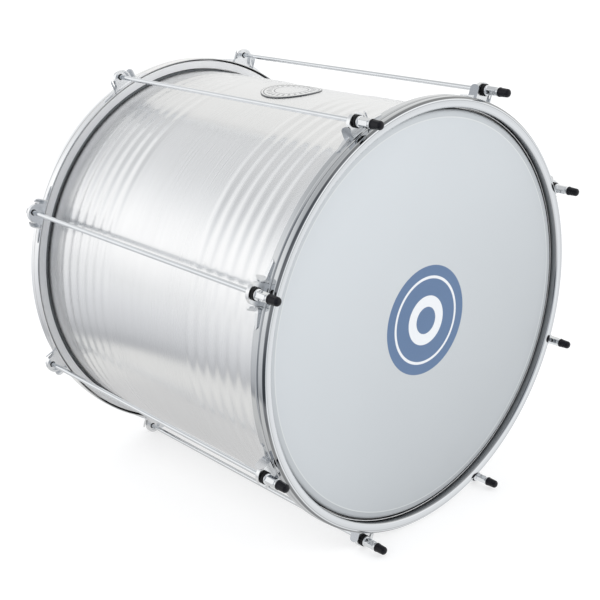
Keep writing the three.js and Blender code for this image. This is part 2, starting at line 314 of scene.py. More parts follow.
# The turns about the drum over which the cream wall and the gap between the walls start and end, and
# the tones of the gap and of the soft light on the drum
CREAM_WALL_TURNS = (0.22, 0.26, 2.0, 2.3)
GAP_TURNS = (-1.45, -1.2, -1.0, -0.82)
GAP_STRENGTH = 0.2
GAP_TONE = (0.42, 0.45, 0.49)
SOFT_LIGHT_TONE = (0.72, 0.73, 0.75)

# The table's tones lie to the left of the photograph's view, and a plain tone to its right. The
# floor's tones go by distance as a share of its half, and the walls' tones by height, which is how
# far up a direction points, from 0 for level to 1 for straight up
TABLE_LEFT_SPAN = (-0.45, 0.25)
TABLE_RIGHT_TONE = (0.86, 0.87, 0.88)
# The table's darker middle is the drum's shadow, painted into what metal sees of the floor
TABLE_AND_PAINTED_SHADOW_TONES = [
    (0.0, (0.58, 0.58, 0.58)), (0.045, (0.66, 0.66, 0.66)), (0.055, (0.76, 0.76, 0.75)),
    (0.071, (0.77, 0.77, 0.76)), (0.076, (0.42, 0.43, 0.45)), (0.093, (0.58, 0.59, 0.61)),
    (0.116, (0.67, 0.68, 0.70)), (0.17, (0.77, 0.78, 0.80)), (0.28, (0.87, 0.88, 0.89)),
    (0.8, (0.95, 0.955, 0.96)),
]
UNLIT_FLOOR_TONES = [
    (0.1, (0.12, 0.135, 0.155)), (0.15, (0.14, 0.155, 0.175)), (0.3, (0.32, 0.34, 0.37)),
    (0.8, (0.50, 0.52, 0.55)),
]
WALL_TONES = [
    (0.0, (1.0, 1.005, 1.01)), (0.07, (1.08, 1.08, 1.08)), (0.36, (1.08, 1.08, 1.08)),
    (0.48, (0.94, 0.95, 0.96)), (0.55, (0.83, 0.845, 0.86)), (0.62, (0.70, 0.71, 0.725)),
    (0.67, (0.62, 0.63, 0.64)), (0.78, (0.58, 0.59, 0.60)), (1.0, (0.8, 0.8, 0.8)),
]
CREAM_WALL_TONES = [
    (0.0, (0.93, 0.93, 0.925)), (0.36, (0.95, 0.95, 0.94)), (0.5, (0.90, 0.90, 0.885)),
    (0.62, (0.78, 0.78, 0.77)), (1.0, (0.8, 0.8, 0.79)),
]
UNLIT_WALL_TONES = [
    (0.0, (0.52, 0.54, 0.57)), (0.1, (0.60, 0.62, 0.65)), (0.37, (0.48, 0.50, 0.53)),
    (0.55, (0.25, 0.27, 0.30)), (0.76, (0.25, 0.27, 0.30)), (0.84, (0.62, 0.63, 0.65)),
]


def fillet(points, radius, steps=4, closed=False):
    """An outline with each corner rounded, by a little under half of its shorter side at most."""
    out = []
    count = len(points)
    for i, (x, y) in enumerate(points):
        if not closed and i in (0, count - 1):
            out.append((x, y))
            continue
        here = Vector((x, y))
        before = Vector(points[i - 1]) - here
        after = Vector(points[(i + 1) % count]) - here
        cut = min(radius, before.length * FILLET_SHARE, after.length * FILLET_SHARE)
        a = here + before.normalized() * cut
        b = here + after.normalized() * cut
        for k in range(steps + 1):
            t = k / steps
            p = a * (1 - t) ** 2 + here * 2 * t * (1 - t) + b * t ** 2
            out.append((p.x, p.y))
    return out


def join_rings(bm, low, high, steps):
    """The faces between two rings of corners, either of which may be a single corner."""
    for k in range(steps):
        n = (k + 1) % steps
        corners = [low[k % len(low)], low[n % len(low)], high[n % len(high)], high[k % len(high)]]
        unique = list(dict.fromkeys(corners))
        if len(unique) > 2:
            bm.faces.new(unique)


def add_spun(bm, outline, steps, closed=False, shape=None):
    """Spins an outline of (radius, y) points about Y. shape(angle, radius, y) may change a radius."""
    rings = []
    for r, y in outline:
        if r < ON_AXIS:
            rings.append([bm.verts.new((0, y, 0))])
            continue
        ring = []
        for k in range(steps):
            angle = TURN * k / steps
            shaped = shape(angle, r, y) if shape else r
            ring.append(bm.verts.new((shaped * math.sin(angle), y, shaped * math.cos(angle))))
        rings.append(ring)
    pairs = list(zip(rings, rings[1:]))
    if closed:
        pairs.append((rings[-1], rings[0]))
    for low, high in pairs:
        join_rings(bm, low, high, steps)


def link(obj):
    bpy.context.scene.collection.objects.link(obj)


def piece(name, bm, place, material, body, nodes, sharp_angle=40):
    """Turns a bmesh into a shown piece that rides on a body and stands for CAD nodes."""
    bmesh.ops.recalc_face_normals(bm, faces=bm.faces)
    bm.transform(place)
    mesh = bpy.data.meshes.new(name)
    bm.to_mesh(mesh)
    bm.free()
    obj = bpy.data.objects.new(name, mesh)
    link(obj)
    mesh.materials.append(material)
    mesh.shade_smooth()
    mesh.set_sharp_from_angle(angle=math.radians(sharp_angle))
    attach(obj, body)
    if nodes:
        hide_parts(*nodes)
    return obj


def on_axis(y=MIDDLE, flip=False):
    """A place on the drum's axis. Flipped, the local +Y points to the batter end."""
    turn = Matrix.Rotation(math.pi, 4, "Z") if flip else Matrix.Identity(4)
    return Matrix.Translation((0, y, AXIS_HEIGHT)) @ turn


def end_place(side):
    """The place of an end: local y is 0 at the hoop's edge and negative towards the shell's middle."""
    return on_axis(MIDDLE + side * HALF_LENGTH, flip=side < 0)


def rod_angle(index):
    """Rods are numbered clockwise from the top, as seen from the batter side."""
    return (2 * index + 1) * math.pi / ROD_COUNT


def rod_place(index, side, depth):
    """A place on a rod's line at a depth below an end's hoop edge, with local +Y pointing outwards."""
    angle = side * rod_angle(index)
    spot = Matrix.Translation((ROD_CIRCLE * math.sin(angle), -depth, ROD_CIRCLE * math.cos(angle)))
    return end_place(side) @ spot @ Matrix.Rotation(angle, 4, "Y")


# Materials


class Nodes:
    """A short way to write a node tree."""

    def __init__(self, tree):
        self.tree = tree
        tree.nodes.clear()

    def add(self, kind, inputs=None, **settings):
        node = self.tree.nodes.new(kind)
        for key, value in settings.items():
            setattr(node, key, value)
        for key, value in (inputs or {}).items():
            self.set(node, key, value)
        return node

    def set(self, node, key, value):
        socket = node.inputs[key]
        if isinstance(value, bpy.types.NodeSocket):
            self.tree.links.new(value, socket)
        else:
            socket.default_value = value

    def math(self, operation, *values):
        node = self.add("ShaderNodeMath", operation=operation)
        for i, value in enumerate(values):
            self.set(node, i, value)
        return node.outputs[0]

    def ramp(self, value, stops):
        node = self.add("ShaderNodeValToRGB", {"Fac": value})
        elements = node.color_ramp.elements
        while len(elements) < len(stops):
            elements.new(0.5)
        for element, (position, tone) in zip(elements, stops):
            element.position = position
            element.color = opaque(tone)
        return node.outputs["Color"]

    def span(self, value, low, high, to_low=0.0, to_high=1.0, smooth=False):
        kind = "SMOOTHSTEP" if smooth else "LINEAR"
        node = self.add("ShaderNodeMapRange", {0: value, 1: low, 2: high, 3: to_low, 4: to_high},
                        interpolation_type=kind)
        return node.outputs[0]

    def mix(self, factor, a, b):
        node = self.add("ShaderNodeMix", data_type="RGBA")
        self.set(node, 0, factor)
        self.set(node, 6, a)
        self.set(node, 7, b)
        return node.outputs[2]

    def noise(self, vector, scale, detail=3.0, roughness=0.5):
        node = self.add("ShaderNodeTexNoise",
                        {"Vector": vector, "Scale": scale, "Detail": detail, "Roughness": roughness})
        return node.outputs["Fac"]


def grey(level):
    return (level, level, level)


def opaque(tone):
    return (*tone, 1)


def new_material(name):
    """A material with a Principled shader: its nodes, its shader and its object coordinates."""
    material = bpy.data.materials.new(name)
    material.use_nodes = True
    n = Nodes(material.node_tree)
    shader = n.add("ShaderNodeBsdfPrincipled")
    out = n.add("ShaderNodeOutputMaterial")
    n.set(out, "Surface", shader.outputs["BSDF"])
    place = n.add("ShaderNodeTexCoord").outputs["Object"]
    return material, n, shader, place


def distance(n, a, b):
    """How far a point is from the origin of two directions."""
    return n.math("SQRT", n.math("ADD", n.math("MULTIPLY", a, a), n.math("MULTIPLY", b, b)))


def drum_coordinates(n, place):
    """Round the drum's axis: distance from it, turn about it from 0 to 1, and y along it."""
    xyz = n.add("ShaderNodeSeparateXYZ", {0: place})
    x, y = xyz.outputs["X"], xyz.outputs["Y"]
    z = n.math("SUBTRACT", xyz.outputs["Z"], AXIS_HEIGHT)
    turn = n.math("ADD", n.math("DIVIDE", n.math("ARCTAN2", x, z), TURN), 0.5)
    return distance(n, x, z), turn, y


def combine(n, x, y, z):
    node = n.add("ShaderNodeCombineXYZ")
    for i, value in enumerate((x, y, z)):
        n.set(node, i, value)
    return node.outputs[0]


def add_bump(n, shader, height, strength, distance):
    bump = n.add("ShaderNodeBump", {"Height": height, "Strength": strength, "Distance": distance})
    n.set(shader, "Normal", bump.outputs["Normal"])


def band(n, value, low, high):
    """1 where the value lies between low and high, with soft edges."""
    rise = n.span(value, low - LINE_SOFTNESS, low + LINE_SOFTNESS)
    fall = n.span(value, high - LINE_SOFTNESS, high + LINE_SOFTNESS, 1.0, 0.0)
    return n.math("MULTIPLY", rise, fall)


def darker(n, tone, amount):
    """A tone with a share of it taken away."""
    return n.mix(amount, tone, opaque(grey(0.0)))


def brushed_aluminium(name, tone, roughness, grain_depth, metallic=1.0, stretch=0.0, painted_shade_within=0.0):
    """Sheet metal with a fine grain round the drum and faint smears, and painted shade within a given
    radius.
    """
    material, n, shader, place = new_material(name)
    radius, turn, y = drum_coordinates(n, place)
    grain_place = combine(n, n.math("MULTIPLY", turn, 14.0), n.math("MULTIPLY", y, 1800.0), 0.0)
    grain = n.noise(grain_place, 1.0, 4.0, 0.6)
    streak_place = combine(n, n.math("MULTIPLY", turn, 9.0), n.math("MULTIPLY", y, 90.0), 3.0)
    streak = n.noise(streak_place, 1.0, 3.0)
    cloud = n.noise(place, 9.0, 2.0)
    colour = n.mix(n.span(streak, 0.35, 0.7), opaque(c * 0.98 for c in tone), opaque(tone))
    # Painted shade: near black within the given radius, on the flesh hoop's inner face by the film's collar
    if painted_shade_within:
        beyond = n.span(radius, painted_shade_within, painted_shade_within + FLESH_SHADE_WIDTH)
        colour = n.mix(beyond, opaque(FLESH_SHADE_TONE), colour)
    n.set(shader, "Base Color", colour)
    if stretch:
        shader.inputs["Anisotropic"].default_value = stretch
        shader.inputs["Anisotropic Rotation"].default_value = 0.25
        round_axis = n.add("ShaderNodeTangent", direction_type="RADIAL", axis="Y")
        n.set(shader, "Tangent", round_axis.outputs[0])
    rough = n.math("ADD", n.span(grain, 0.3, 0.7, roughness * 0.9, roughness * 1.1),
                   n.span(cloud, 0.35, 0.65, -0.01, 0.02))
    n.set(shader, "Roughness", rough)
    shader.inputs["Metallic"].default_value = metallic
    add_bump(n, shader, grain, 0.1, grain_depth)
    return material


def badge_metal(name, tone, roughness):
    """Satin plate with a grey edge, two engraved rings and plain ticks between them."""
    material, n, shader, place = new_material(name)
    xyz = n.add("ShaderNodeSeparateXYZ", {0: place})
    x, y = xyz.outputs["X"], n.math("SUBTRACT", xyz.outputs["Y"], MIDDLE)
    away = distance(n, x, y)
    ticks = n.math("SINE", n.math("MULTIPLY", n.math("ARCTAN2", x, y), BADGE_TICKS))
    ticks = n.math("MULTIPLY", n.span(ticks, 0.1, 0.5), band(n, away, BADGE_TICKS_INNER, BADGE_TICKS_OUTER))
    lines = n.math("MAXIMUM", band(n, away, BADGE_RING_INNER, BADGE_RING_INNER + BADGE_LINE),
                   band(n, away, BADGE_RING_OUTER, BADGE_RING_OUTER + BADGE_LINE))
    edge = n.span(away, BADGE_RADIUS - BADGE_LINE, BADGE_RADIUS - BADGE_LINE / 2)
    dark = n.math("MAXIMUM", n.math("MAXIMUM", lines, edge), n.math("MULTIPLY", ticks, 0.8))
    grain = n.noise(combine(n, n.math("MULTIPLY", x, 60.0), n.math("MULTIPLY", y, 1500.0), 0.0), 1.0, 3.0)
    n.set(shader, "Base Color", n.mix(dark, opaque(tone), opaque(ENGRAVED_TONE)))
    n.set(shader, "Roughness", n.span(grain, 0.3, 0.7, roughness * 0.9, roughness * 1.15))
    shader.inputs["Metallic"].default_value = 1
    add_bump(n, shader, n.math("SUBTRACT", n.math("MULTIPLY", grain, 0.1), dark), 0.4, ENGRAVING_DEPTH)
    return material


def plating(n, shader, place, roughness, wear):
    """The gloss of plated steel: nearly a mirror, with faint haze and a slow ripple from the pressing."""
    haze = n.noise(place, 45.0, 3.0)
    ripple = n.noise(place, 22.0, 1.0)
    n.set(shader, "Roughness", n.span(haze, 0.35, 0.75, roughness, roughness + wear))
    shader.inputs["Metallic"].default_value = 1
    add_bump(n, shader, ripple, 0.12, RIPPLE_DEPTH)
    return haze


def chrome(name, tone, roughness, wear=0.05):
    """Plated steel of one tone, a little duller where the haze is."""
    material, n, shader, place = new_material(name)
    haze = plating(n, shader, place, roughness, wear)
    worn = opaque(c * (1 - wear) for c in tone)
    n.set(shader, "Base Color", n.mix(n.span(haze, 0.4, 0.75), opaque(tone), worn))
    return material


def hoop_plating_with_painted_reflections(name, tone, roughness, painted_edge_share, painted_band_share):
    """Plated steel with painted reflections: the dark and bright lines that run round a pressed hoop.

    The lines go outwards from the inner wall, which is painted dark as shade, over the crown, to the outer
    edge and the bands.
    """
    material, n, shader, place = new_material(name)
    plating(n, shader, place, roughness, 0.05)
    radius = drum_coordinates(n, place)[0]
    across = n.span(radius, INNER_RADIUS, HOOP_RADIUS)
    # Painted shade on the inner wall, and painted reflections as dark and bright lines over the crown, edge
    # and bands
    lines = n.ramp(across, [(0.0, grey(0.36)), (0.03, grey(0.38)), (0.08, grey(0.85)), (0.25, grey(1.0)),
                            (0.60, grey(0.90)), (0.655, grey(0.58)), (0.69, grey(1.0)), (0.76, grey(1.0)),
                            (0.80, grey(painted_edge_share)), (0.93, grey(painted_edge_share)), (0.96, grey(painted_band_share)),
                            (1.0, grey(painted_band_share))])
    shade = {0: 1.0, 6: lines, 7: opaque(tone)}
    shaded = n.add("ShaderNodeMix", shade, data_type="RGBA", blend_type="MULTIPLY")
    n.set(shader, "Base Color", shaded.outputs[2])
    return material


def rubber(name, tone, roughness, gloss):
    """Black rubber with a fine moulded grain and paler rubbed spots."""
    material, n, shader, place = new_material(name)
    grain = n.noise(place, 1400.0, 2.0)
    rub = n.noise(place, 160.0, 3.0)
    n.set(shader, "Base Color", n.mix(n.span(rub, 0.5, 0.8), opaque(tone), opaque(c * 1.9 for c in tone)))
    n.set(shader, "Roughness", n.span(rub, 0.3, 0.7, roughness - 0.07, roughness + 0.08))
    shader.inputs["Specular IOR Level"].default_value = gloss
    add_bump(n, shader, grain, 0.3, RUBBER_GRAIN_DEPTH)
    return material


def film(name, printed):
    """Hazy polyester film with a pale stretched ring, a printed disc, and painted shade across it, outside
    the ring and at its rim.
    """
    material, n, shader, place = new_material(name)
    radius = drum_coordinates(n, place)[0]
    cloud = n.noise(place, 5.0, 2.0)
    speck = n.noise(place, 900.0, 2.0)
    tone = n.mix(n.span(cloud, 0.35, 0.65), opaque(c * 0.985 for c in FILM_TONE), opaque(FILM_TONE))
    # Painted shade: the film darkens towards +X and downwards
    xyz = n.add("ShaderNodeSeparateXYZ", {0: place})
    rise = n.math("SUBTRACT", xyz.outputs["Z"], AXIS_HEIGHT)
    fall = n.math("SUBTRACT", n.math("MULTIPLY", xyz.outputs["X"], FILM_SHADE_ACROSS),
                  n.math("MULTIPLY", rise, FILM_SHADE_DOWN))
    tone = darker(n, tone, n.span(fall, -FILM_SHADE_REACH, FILM_SHADE_REACH, 0.0, FILM_SHADE_AMOUNT))
    ring_end = FILM_RING_RADIUS + FILM_RING_WIDTH
    # Painted shade beyond the stretched ring
    tone = darker(n, tone, n.span(radius, FILM_RING_RADIUS, ring_end, 0.0, FILM_OUTSIDE_SHADE))
    ring = n.math("MULTIPLY", band(n, radius, FILM_RING_RADIUS, ring_end), FILM_RING_STRENGTH)
    tone = n.mix(ring, tone, opaque(FILM_RING_TONE))
    # The rim, where the film bends down inside the hoop, is painted near black as shade
    rim = n.span(radius, FILM_RIM_RADIUS, FILM_RIM_RADIUS + FILM_RIM_SOFTNESS)
    tone = n.mix(rim, tone, opaque(FILM_RIM_SHADE_TONE))
    if printed:
        tone = print_disc(n, radius, tone)
    n.set(shader, "Base Color", tone)
    n.set(shader, "Roughness", n.span(cloud, 0.3, 0.7, 0.34, 0.42))
    shader.inputs["Specular IOR Level"].default_value = 0.35
    add_bump(n, shader, speck, 0.08, SPECK_DEPTH)
    return material


def print_disc(n, radius, tone):
    """A blue disc with plain rings left open in it, printed on the film's middle."""
    disc = n.span(radius, PRINT_RADIUS - LINE_SOFTNESS, PRINT_RADIUS + LINE_SOFTNESS, 1.0, 0.0)
    rings = n.math("MAXIMUM", band(n, radius, *PRINT_LINE), band(n, radius, *PRINT_RING))
    ink = n.math("MULTIPLY", disc, n.math("SUBTRACT", 1.0, rings))
    with_rings = n.mix(n.math("MULTIPLY", disc, rings), tone, opaque(OPEN_RING_TONE))
    return n.mix(ink, with_rings, opaque(PRINT_TONE))


SHELL_METAL = brushed_aluminium("shell_brushed", (0.965, 0.968, 0.972), 0.25, SHELL_GRAIN_DEPTH,
                                stretch=0.85)
FLESH_METAL = brushed_aluminium("flesh_hoop_mill", (0.94, 0.945, 0.95), 0.45, MILL_GRAIN_DEPTH,
                                metallic=0.35, painted_shade_within=FLESH_SHADE_RADIUS)
BADGE_METAL = badge_metal("badge_satin", (0.84, 0.845, 0.85), 0.22)
# The hoops and ears are one plated steel in lit and shaded copies: the rear hoop and the ears are painted
# lighter
BATTER_HOOP_CHROME = hoop_plating_with_painted_reflections("batter_hoop_chrome", (0.86, 0.88, 0.90), 0.035, 0.34, 0.74)
REAR_HOOP_CHROME = hoop_plating_with_painted_reflections("rear_hoop_chrome", (0.95, 0.955, 0.96), 0.06, 0.62, 1.0)
EAR_CHROME = chrome("ear_chrome", (0.93, 0.94, 0.95), 0.20)
ROD_CHROME = chrome("rod_chrome", (0.82, 0.84, 0.86), 0.07)
NUT_CHROME = chrome("nut_chrome", (0.86, 0.875, 0.89), 0.05)
WASHER_RUBBER = rubber("washer_rubber", (0.006, 0.006, 0.007), 0.5, 0.3)
CAP_RUBBER = rubber("cap_rubber", (0.005, 0.005, 0.008), 0.28, 0.28)
BATTER_FILM = film("batter_film", printed=True)
REAR_FILM = film("rear_film", printed=False)


# Shell, heads and flesh hoops


def bead_group(side):
    """One group of rolled beads, as soft waves of the sheet."""
    start = HALF_LENGTH - FIRST_BEAD_DEPTH
    points = []
    for i in range(BEAD_COUNT * BEAD_STEPS + 1):
        rise = BEAD_HEIGHT * (1 - math.cos(TURN * i / BEAD_STEPS)) / 2
        points.append((SHELL_RADIUS + rise, side * (start - i / BEAD_STEPS * BEAD_PITCH)))
    return points if side < 0 else points[::-1]


def make_shell():
    edge = HALF_LENGTH - SHELL_EDGE_DEPTH
    bore = SHELL_RADIUS - SHELL_WALL
    inner = [(r - SHELL_WALL, y) for r, y in bead_group(-1) + bead_group(1)]
    outer = [(SHELL_RADIUS, -edge)] + bead_group(-1) + bead_group(1) + [(SHELL_RADIUS, edge)]
    outline = outer + [(bore, edge)] + inner[::-1] + [(bore, -edge)]
    bm = bmesh.new()
    add_spun(bm, outline, RING_STEPS, closed=True)
    piece("shell_sheet", bm, on_axis(), SHELL_METAL, "drum", ["shell"],
          sharp_angle=60)


def make_film(end, side):
    outside = FILM_INSIDE + FILM_THICKNESS
    top = -FILM_DEPTH
    under = top - FILM_THICKNESS
    bottom = top - COLLAR_HEIGHT
    outline = [(0, top)] + [(ring, top) for ring in FILM_RINGS]
    outline += [(outside - FILM_ROUNDING, top), (outside, top - FILM_ROUNDING / 2), (COLLAR_RADIUS, bottom),
                (COLLAR_RADIUS - FILM_THICKNESS, bottom), (FILM_INSIDE, under - FILM_ROUNDING / 2),
                (FILM_INSIDE, under), (FILM_RINGS[-1], under), (0, under)]
    bm = bmesh.new()
    add_spun(bm, fillet(outline, FILM_SOFTNESS, 3), RING_STEPS)
    look = BATTER_FILM if side < 0 else REAR_FILM
    piece(f"{end}_film", bm, end_place(side), look, "drum", [f"{end}_head_film"])


def make_flesh_hoop(end, side):
    outline = [(FLESH_INNER, -FLESH_BOTTOM), (FLESH_OUTER, -FLESH_BOTTOM),
               (FLESH_OUTER, -FLESH_TOP), (FLESH_INNER, -FLESH_TOP)]
    bm = bmesh.new()
    add_spun(bm, fillet(outline, FLESH_SOFTNESS, 3, closed=True), RING_STEPS, closed=True)
    piece(f"{end}_flesh_ring", bm, end_place(side), FLESH_METAL, "drum",
          [f"{end}_flesh_hoop"])


# Hoops and ears


def hoop_outline():
    """The pressed sheet's section: down the outside of the skirt, and back up its inside."""
    groove = HOOP_RADIUS - GROOVE_SINK
    under = HOOP_SHEET
    outside = [(HOOP_RADIUS, -SKIRT_DEPTH), (HOOP_RADIUS, -RIDGE_DEPTH - RIDGE_HALF_WIDTH),
               (HOOP_RADIUS + RIDGE_HEIGHT, -RIDGE_DEPTH), (HOOP_RADIUS, -GROOVE_DEPTH - GROOVE_HALF_WIDTH),
               (groove, -GROOVE_DEPTH), (UPPER_RADIUS, -GROOVE_DEPTH + GROOVE_HALF_WIDTH),
               (UPPER_RADIUS, -RIM_EDGE), (UPPER_RADIUS - RIM_EDGE, 0),
               (UPPER_RADIUS - RIM_EDGE - CROWN_FLAT, 0), (INNER_RADIUS + RIM_INNER, -CROWN_SLOPE),
               (INNER_RADIUS, -RIM_INNER - CROWN_SLOPE), (INNER_RADIUS, -INNER_LEG_DEPTH)]
    inside = [(INNER_RADIUS + under, -INNER_LEG_DEPTH), (INNER_RADIUS + under, -RIM_INNER - CROWN_SLOPE),
              (INNER_RADIUS + RIM_INNER, -under - CROWN_SLOPE), (UPPER_RADIUS - RIM_EDGE, -under),
              (UPPER_RADIUS - under, -RIM_EDGE), (UPPER_RADIUS - under, -GROOVE_DEPTH + GROOVE_HALF_WIDTH),
              (groove - under, -GROOVE_DEPTH), (HOOP_RADIUS - under, -GROOVE_DEPTH - GROOVE_HALF_WIDTH),
              (HOOP_RADIUS - under, -SKIRT_DEPTH)]
    return fillet(outside + inside, HOOP_SOFTNESS, 5, closed=True)


def arc(x, z, radius, start, end, steps):
    """Points on an arc, with both ends included."""
    turn = (end - start) / steps
    return [(x + radius * math.cos(start + turn * k), z + radius * math.sin(start + turn * k))
            for k in range(steps + 1)]


def mirrored(points):
    return [(-x, z) for x, z in reversed(points)]


def on_circle(reach, radius):
    """How far out a circle round the drum's axis is, at a distance to the side of the rod's line."""
    return math.sqrt(radius ** 2 - reach ** 2)


def arch_half(inset):
    """The arch's right half seen along the rod, from foot to top, set in from its outer face."""
    foot = ARCH_RADIUS + FLARE_RADIUS
    flare = arc(foot, ARCH_HEIGHT, FLARE_RADIUS + inset, -QUARTER, -2 * QUARTER, FLARE_STEPS)
    return flare + arc(0, ARCH_HEIGHT, ARCH_RADIUS - inset, 0, QUARTER, ARCH_STEPS)[1:]


def ear_lines():
    """The band's outer and inner faces seen along the rod, each from the tip of one leg to the other."""
    foot = ARCH_RADIUS + FLARE_RADIUS
    root_rise = ARCH_HEIGHT - FLARE_RADIUS - on_circle(foot, HOOP_RADIUS)
    outer, inner = [], []
    for k in range(LEG_STEPS):
        share = k / LEG_STEPS
        reach = LEG_REACH + (foot - LEG_REACH) * share
        skirt = on_circle(reach, HOOP_RADIUS)
        outer.append((reach, skirt + LEG_TIP + (root_rise - LEG_TIP) * share))
        inner.append((reach, skirt - HOOP_SHEET / 2))
    outer += arch_half(0)
    inner += arch_half(EAR_SHEET)
    return outer[:-1] + mirrored(outer), inner[:-1] + mirrored(inner)


def ear_edges(across):
    """The depths of the band's near and far edges, which come together at the point of each leg."""
    reach = abs(across)
    half = EAR_WIDTH / 2
    closing = half * LEG_CLOSING_SHARE
    near_share = max(0.0, (reach - LEG_REACH + half) / half)
    far_share = max(0.0, (reach - LEG_ROOT) / (LEG_REACH - LEG_ROOT))
    return EAR_DEPTH + closing * near_share, EAR_DEPTH + EAR_WIDTH - closing * far_share


def add_band(bm, place):
    """The ear's bent band: a bar through four-cornered sections."""
    rings = []
    for (x, z), (inner_x, inner_z) in zip(*ear_lines()):
        near, far = ear_edges(x)
        corners = [(x, -near, z), (x, -far, z), (inner_x, -far, inner_z), (inner_x, -near, inner_z)]
        rings.append([bm.verts.new(place @ Vector(corner)) for corner in corners])
    for low, high in zip(rings, rings[1:]):
        for k in range(4):
            n = (k + 1) % 4
            bm.faces.new((low[k], low[n], high[n], high[k]))
    bm.faces.new(rings[0])
    bm.faces.new(rings[-1])


def add_plate(bm, place, loops, low, high):
    """A flat plate between two depths, from its outline and its holes as (across, out) points."""
    near = [[bm.verts.new(place @ Vector((x, -low, z))) for x, z in loop] for loop in loops]
    far = [[bm.verts.new(place @ Vector((x, -high, z))) for x, z in loop] for loop in loops]
    near_row, far_row = sum(near, []), sum(far, [])
    for corners in tessellate_polygon([[Vector((x, z, 0)) for x, z in loop] for loop in loops]):
        bm.faces.new([near_row[i] for i in corners])
        bm.faces.new([far_row[i] for i in corners])
    for a, b in zip(near, far):
        for k in range(len(a)):
            n = (k + 1) % len(a)
            bm.faces.new((a[k], a[n], b[n], b[k]))


def add_face(bm, place):
    """The plate that closes the arch's outer end, with the rod's hole in it."""
    foot = ARCH_RADIUS + FLARE_RADIUS
    half = [(foot, on_circle(foot, HOOP_RADIUS - HOOP_SHEET / 2))] + arch_half(FACE_INSET)
    hole = arc(0, ROD_CIRCLE, FACE_HOLE_RADIUS, 0, TURN, HOLE_STEPS)[:-1]
    near = EAR_DEPTH + FACE_SET_BACK
    add_plate(bm, place, [half[:-1] + mirrored(half), hole], near, near + FACE_SHEET)


def add_fin(bm, place, side):
    """A standing fin with a round top, turned so that it opens outwards away from the hoop's edge."""
    bottom = on_circle(FIN_REACH, HOOP_RADIUS - HOOP_SHEET / 2)
    outline = [(-FIN_RADIUS, bottom), (FIN_RADIUS, bottom)]
    outline += arc(0, FIN_HEIGHT, FIN_RADIUS, 0, 2 * QUARTER, FIN_STEPS)
    spot = Matrix.Translation((side * FIN_REACH, -FIN_DEPTH, 0)) @ Matrix.Rotation(-side * FIN_TURN, 4, "Z")
    add_plate(bm, place @ spot, [outline], -FIN_SHEET / 2, FIN_SHEET / 2)


def add_ear(bm, place):
    add_band(bm, place)
    add_face(bm, place)
    add_fin(bm, place, -1)
    add_fin(bm, place, 1)


def make_hoop(end, side):
    bm = bmesh.new()
    add_spun(bm, hoop_outline(), RING_STEPS, closed=True)
    look = BATTER_HOOP_CHROME if side < 0 else REAR_HOOP_CHROME
    piece(f"{end}_hoop_sheet", bm, end_place(side), look, "drum", [f"{end}_hoop"])
    for i in range(ROD_COUNT):
        bm = bmesh.new()
        add_ear(bm, Matrix.Rotation(side * rod_angle(i), 4, "Y"))
        ear = piece(f"{end}_ear_{i + 1}", bm, end_place(side), EAR_CHROME, "drum", [])
        soften = ear.modifiers.new("soft_edges", "BEVEL")
        soften.width = EAR_SOFTNESS
        soften.segments = EAR_SOFT_SEGMENTS
        soften.limit_method = "ANGLE"
        soften.angle_limit = EAR_SOFT_ANGLE


# Rods, washers, nuts and caps


def hex_radius(angle, radius, y):
    """A circle cut down to a hexagon's flats, with slightly eased corners."""
    half_face = math.pi / 6
    away = (angle + half_face) % (2 * half_face) - half_face
    flat = HEX_FLATS / 2 / math.cos(away)
    return min(radius, flat)


def chamfered_end(y, towards):
    """A hexagon's end as seen from the side: from its face, over its chamfer, to its corners."""
    corner = HEX_FLATS / 2 / math.cos(math.pi / 6) - HEX_CORNER_CUT
    return [(corner - HEX_CHAMFER, y), (corner - HEX_SOFTNESS, y + towards * HEX_CHAMFER * HEX_BULGE_SHARE),
            (corner, y + towards * HEX_CHAMFER)]


def add_hex(bm, low, high):
    """A solid hexagon, chamfered at both ends."""
    outline = [(0, low)] + chamfered_end(low, 1) + chamfered_end(high, -1)[::-1] + [(0, high)]
    add_spun(bm, outline, HEX_STEPS, shape=hex_radius)


def add_hex_sleeve(bm, low, high):
    """The nut's hexagon, as a closed sleeve round the core, chamfered at its outer end."""
    outer_end = chamfered_end(high, -1)[::-1]
    core = BORE_RADIUS + NUT_CORE_OVERLAP
    outline = [(core, low), (outer_end[0][0], low)] + outer_end + [(core, high)]
    add_spun(bm, outline, HEX_STEPS, closed=True, shape=hex_radius)


def thread(low, high):
    """The outline of a rolled thread, as rings one pitch apart."""
    count = round((high - low) / THREAD_PITCH)
    root = ROD_RADIUS - THREAD_SINK
    points = []
    for k in range(count):
        y = low + (high - low) * k / count
        points += [(ROD_RADIUS, y + THREAD_PITCH * THREAD_FALL_SHARE),
                   (root, y + THREAD_PITCH * THREAD_ROOT_SHARE),
                   (ROD_RADIUS, y + THREAD_PITCH * THREAD_RISE_SHARE)]
    return points


def make_rod(index):
    """A rod with its rolled thread at the batter end and a hexagon head at the rear."""
    number = index + 1
    tip = ROD_TIP_DEPTH - 2 * HALF_LENGTH
    head = -HEAD_DEPTH
    buried = head + ROD_IN_HEAD
    outline = [(0, tip), (ROD_RADIUS - TIP_INSET, tip), (ROD_RADIUS - TIP_STEP, tip + TIP_CHAMFER)]
    outline += thread(tip + THREAD_START, tip + THREAD_LENGTH)
    outline += [(ROD_RADIUS, tip + THREAD_LENGTH + THREAD_RUN_OUT), (ROD_RADIUS, buried), (0, buried)]
    bm = bmesh.new()
    add_spun(bm, outline, ROD_STEPS)
    add_hex(bm, head, head + HEAD_HEIGHT)
    piece(f"rod_{number}", bm, rod_place(index, 1, 0), ROD_CHROME, "drum",
          [f"tension_rod_{number}"], sharp_angle=35)


